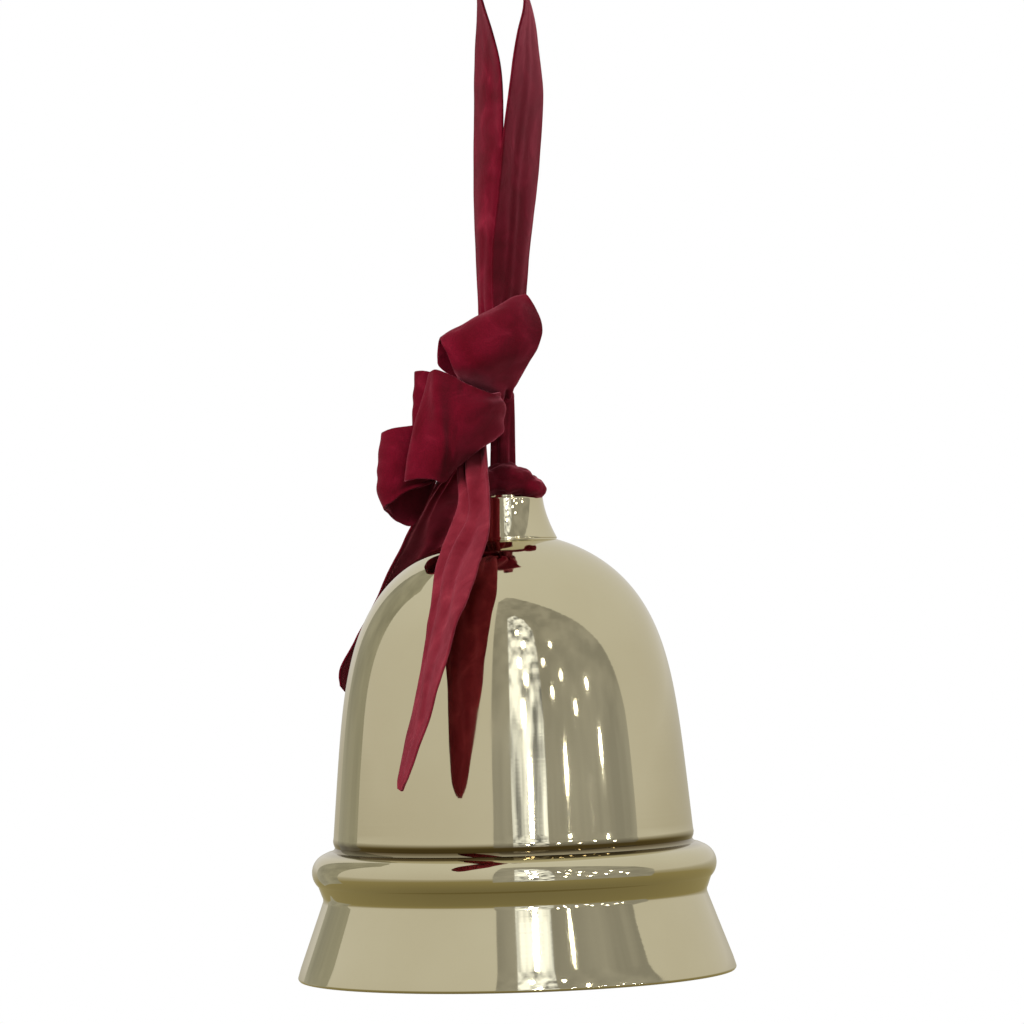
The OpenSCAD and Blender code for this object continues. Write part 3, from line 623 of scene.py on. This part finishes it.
def lumps(name, body, parts, voxel, crumple, grain, seed):
    """A knotted mass: lobes of (centre, half sizes, tilt about Y, turn about Z) run together."""
    bm = bmesh.new()
    for centre, half, tilt, turn in parts:
        fresh = bmesh.ops.create_icosphere(bm, subdivisions=4, radius=1)["verts"]
        size = Matrix.Diagonal((*(h * MM for h in half), 1))
        spin = Matrix.Rotation(math.radians(turn), 4, "Z") @ Matrix.Rotation(math.radians(tilt), 4, "Y")
        bmesh.ops.transform(bm, verts=fresh, matrix=Matrix.Translation(place(*centre)) @ spin @ size)
    piece = finish_mesh(name, bm, body, VELVET)
    remesh = piece.modifiers.new("run_together", "REMESH")
    remesh.mode = "VOXEL"
    remesh.voxel_size = voxel * MM
    soften = piece.modifiers.new("soften", "SMOOTH")
    soften.iterations = 6
    apply_modifiers(piece)
    for vertex in piece.data.vertices:
        sample = vertex.co / (grain * MM) + Vector((seed, 0, 0))
        push = noise.noise(sample) + 0.4 * noise.noise(sample * 2.3)
        vertex.co += vertex.normal * push * crumple * MM
    if not piece.data.materials:
        piece.data.materials.append(VELVET)
    return piece


def knots():
    """The knot that sits on the neck, and the one that holds the bow."""
    neck = lumps("velvet_neck_knot", "knot", [
        ((1.5, 0, 178), (12.2, 11.5, 3.6), 0, 0),
        ((3.5, -5.5, 181.2), (8.5, 5.6, 4.4), 12, -8),
        ((10.6, -3.5, 177.2), (5.6, 7.5, 3.9), 24, 20),
        ((-6, -5, 179), (6.5, 6.5, 4.8), -14, 10),
        ((-2, 6.5, 179.5), (9, 5.5, 5.2), 0, 12),
        ((8, 5.5, 178.5), (6, 5.5, 4.4), 10, -30),
        ((0.3, 0, 184.3), (5.6, 5.4, 3), 0, 0)], voxel=0.5, crumple=0.7, grain=4.5, seed=3)
    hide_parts("neck_knot")
    bow = lumps("velvet_bow_knot", "ribbon", [
        ((-5, 0, 211), (6.5, 6.8, 4), 0, 0), ((1, 0, 211), (4, 4.5, 4), 0, 0),
        ((-6, -3, 210.4), (4, 4, 3.6), 20, 30)], voxel=0.5, crumple=0.4, grain=4, seed=8)
    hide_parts("bow_knot")


# ---------------------------------------------------------------- fittings
FITTINGS = {"crown_washer": PLATE, "crown_eye": BRASS, "clapper_eye": BRASS, "clapper_rod": BRASS,
            "clapper_tip": BRASS, "inner_washer": STEEL, "stem_nut": STEEL, "clapper_link": STEEL,
            "clapper_ball": BALL}


def dress_fittings():
    """Gives the CAD's own small parts their metals."""
    for node, material in FITTINGS.items():
        for material_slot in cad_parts[node].material_slots:
            material_slot.material = material


# ---------------------------------------------------------------- studio
FLOOR_DROP = 1700             # floor below the lip, as the bell hangs at head height
FLOOR_R = 2.4                 # these three in metres
CARD_R = 3.0                  # distance of the cards from the bell's axis
LAMP_R = 2.6                  # distance of the small lamps from it


def make_floor():
    mat, nodes, links, bsdf = new_material("studio_floor")
    coords = nodes.new("ShaderNodeTexCoord").outputs["Object"]
    grain = noise_node(nodes, links, coords, 6, detail=2)
    colour = ramp(nodes, [(0.3, (0.80, 0.80, 0.79)), (0.7, (0.84, 0.84, 0.83))])
    links.new(grain.outputs["Fac"], colour.inputs["Fac"])
    links.new(colour.outputs["Color"], bsdf.inputs["Base Color"])
    bsdf.inputs["Roughness"].default_value = 0.8
    bm = bmesh.new()
    bmesh.ops.create_circle(bm, cap_ends=True, segments=96, radius=FLOOR_R)
    bmesh.ops.translate(bm, verts=bm.verts, vec=place(0, 0, -FLOOR_DROP))
    floor = finish_mesh("studio_floor", bm, None, mat)
    floor.visible_diffuse = False
    floor.visible_glossy = False


def area_light(name, at, aim, width, height, power, colour=(1, 1, 1)):
    data = bpy.data.lights.new(name, "AREA")
    data.shape = "RECTANGLE"
    data.size, data.size_y = width, height
    data.energy = power
    data.color = colour
    light = bpy.data.objects.new(name, data)
    bpy.context.scene.collection.objects.link(light)
    light.location = at
    light.rotation_euler = (Vector(aim) - Vector(at)).to_track_quat("-Z", "Y").to_euler()
    return light


def make_world():
    """White to the eye, a warm grey room in the plate, and a dimmer one as fill light."""
    world = bpy.data.worlds.new("studio")
    bpy.context.scene.world = world
    world.use_nodes = True
    nodes, links = world.node_tree.nodes, world.node_tree.links
    nodes.clear()
    out = nodes.new("ShaderNodeOutputWorld")
    coords = nodes.new("ShaderNodeTexCoord")
    split = nodes.new("ShaderNodeSeparateXYZ")
    links.new(coords.outputs["Generated"], split.inputs["Vector"])
    height = add(nodes, "ShaderNodeMapRange")
    height.inputs["From Min"].default_value = -1
    height.inputs["From Max"].default_value = 1
    links.new(split.outputs["Z"], height.inputs["Value"])
    tone = ramp(nodes, [(0.0, (0.27, 0.23, 0.12)), (0.40, (0.42, 0.36, 0.18)),
                        (0.49, (0.62, 0.58, 0.48)), (0.54, (0.84, 0.81, 0.76)),
                        (1.0, (0.95, 0.94, 0.91))])
    links.new(height.outputs["Result"], tone.inputs["Fac"])
    room = add(nodes, "ShaderNodeBackground", Strength=0.85)
    links.new(tone.outputs["Color"], room.inputs["Color"])
    dim = ramp(nodes, [(0.0, (0.02, 0.02, 0.02)), (0.5, (0.16, 0.16, 0.16)), (1.0, (0.24, 0.24, 0.24))])
    links.new(height.outputs["Result"], dim.inputs["Fac"])
    fill = add(nodes, "ShaderNodeBackground", Strength=0.6)
    links.new(dim.outputs["Color"], fill.inputs["Color"])
    white = add(nodes, "ShaderNodeBackground", Strength=1.0)
    white.inputs["Color"].default_value = (1, 1, 1, 1)
    path = nodes.new("ShaderNodeLightPath")
    lit = nodes.new("ShaderNodeMixShader")
    links.new(path.outputs["Is Diffuse Ray"], lit.inputs["Fac"])
    links.new(room.outputs["Background"], lit.inputs[1])
    links.new(fill.outputs["Background"], lit.inputs[2])
    mix = nodes.new("ShaderNodeMixShader")
    links.new(path.outputs["Is Camera Ray"], mix.inputs["Fac"])
    links.new(lit.outputs["Shader"], mix.inputs[1])
    links.new(white.outputs["Background"], mix.inputs[2])
    links.new(mix.outputs["Shader"], out.inputs["Surface"])


def stage_card(name, glow, outline, radius, patchy=False):
    """A curved card round the ornament that shows only as its reflection in the plate.

    The outline is a list of (angle in degrees from straight in front, lowest height, highest
    height), the heights in metres from the lip. A patchy card glows unevenly, like a row of
    lamps and windows."""
    mat, nodes, links, bsdf = new_material(name)
    bsdf.inputs["Base Color"].default_value = (0, 0, 0, 1)
    bsdf.inputs["Roughness"].default_value = 1
    bsdf.inputs["Specular IOR Level"].default_value = 0
    bsdf.inputs["Emission Strength"].default_value = 1
    coords = nodes.new("ShaderNodeTexCoord").outputs["Object"]
    cloud = noise_node(nodes, links, coords, 3.4 if patchy else 1.2, detail=3)
    dim, bright = (0.30, 2.1) if patchy else (0.85, 1.15)
    tone = ramp(nodes, [(0.38, tuple(g * dim for g in glow)), (0.64, tuple(g * bright for g in glow))])
    links.new(cloud.outputs["Fac"], tone.inputs["Fac"])
    links.new(tone.outputs["Color"], bsdf.inputs["Emission Color"])
    bm = bmesh.new()
    columns = []
    for angle, low, high in outline:
        a = math.radians(angle)
        columns.append([bm.verts.new(Vector((radius * math.sin(a), -radius * math.cos(a), z + LIP_Z)))
                        for z in (low, high)])
    for a, b in zip(columns, columns[1:]):
        bm.faces.new((a[0], b[0], b[1], a[1]))
    card = finish_mesh(name, bm, None, mat)
    card.visible_camera = False
    card.visible_diffuse = False
    card.visible_shadow = False


def make_cards():
    """What shows in the plate: a grey wall in front and at the right, with a lit column before
    it, and a grey patch behind at the left."""
    stage_card("dark_card", (0.42, 0.41, 0.39),
               [(-12, -0.9, 6.5), (0, -0.9, 8), (14, -0.9, 7.4), (28, -0.9, 6.2), (42, -0.9, 4.9),
                (56, -0.9, 3.6), (68, -0.9, 2.6), (78, -0.9, 1.6), (85, -0.9, 0.6)], CARD_R)
    stage_card("side_card", (0.40, 0.39, 0.33),
               [(-150, -0.9, 3.2), (-135, -0.9, 3.6), (-118, -0.9, 3.2)], CARD_R)
    stage_card("lit_column", (0.84, 0.87, 0.96),
               [(0, -0.8, 3.6), (8, -0.8, 3.9), (16, -0.8, 3.4), (22, -0.8, 2.6)], 2.8, patchy=True)


# Small lamps that show as sparkles: angle in degrees from straight in front, metres above the lip
LARGE_LAMPS = ((8, 2.4), (12, 1.9), (8, 1.45), (12, 1.1), (9, 0.75), (12, 0.4), (9, 0.05))
SMALL_LAMPS = ((26, 1.4), (30, 0.9), (38, 1.1), (36, 0.45), (46, 0.7), (52, 0.25), (57, 0.9),
               (62, 0.45), (66, 0.05), (42, 0.0), (28, 0.15), (34, 1.8))


def make_lights():
    """Three soft lights that the plate does not mirror, and the small lamps, which it does."""
    centre = place(0, 0, 150)
    key = area_light("key", place(-1350, -1350, 1000), centre, 0.8, 0.8, 60)
    fill = area_light("fill", place(900, 250, -250), place(-20, -80, 100), 0.5, 0.5, 9)
    rim = area_light("rim", place(900, 1500, 1300), centre, 1.0, 1.0, 12)
    for light in (key, fill, rim):
        light.visible_glossy = False
    for i, (angle, z) in enumerate(LARGE_LAMPS + SMALL_LAMPS):
        a = math.radians(angle)
        at = Vector((LAMP_R * math.sin(a), -LAMP_R * math.cos(a), z + LIP_Z))
        size = 0.09 if i < len(LARGE_LAMPS) else 0.055
        area_light(f"sparkle_{i}", at, centre, size, size * 1.4, 280 * size * size, (1, 0.98, 0.95))


def main():
    make_bell()
    make_collar()
    make_ribbons()
    stem()
    knots()
    dress_fittings()
    make_floor()
    make_world()
    make_cards()
    make_lights()
    bpy.context.scene.view_settings.view_transform = "Standard"


main()
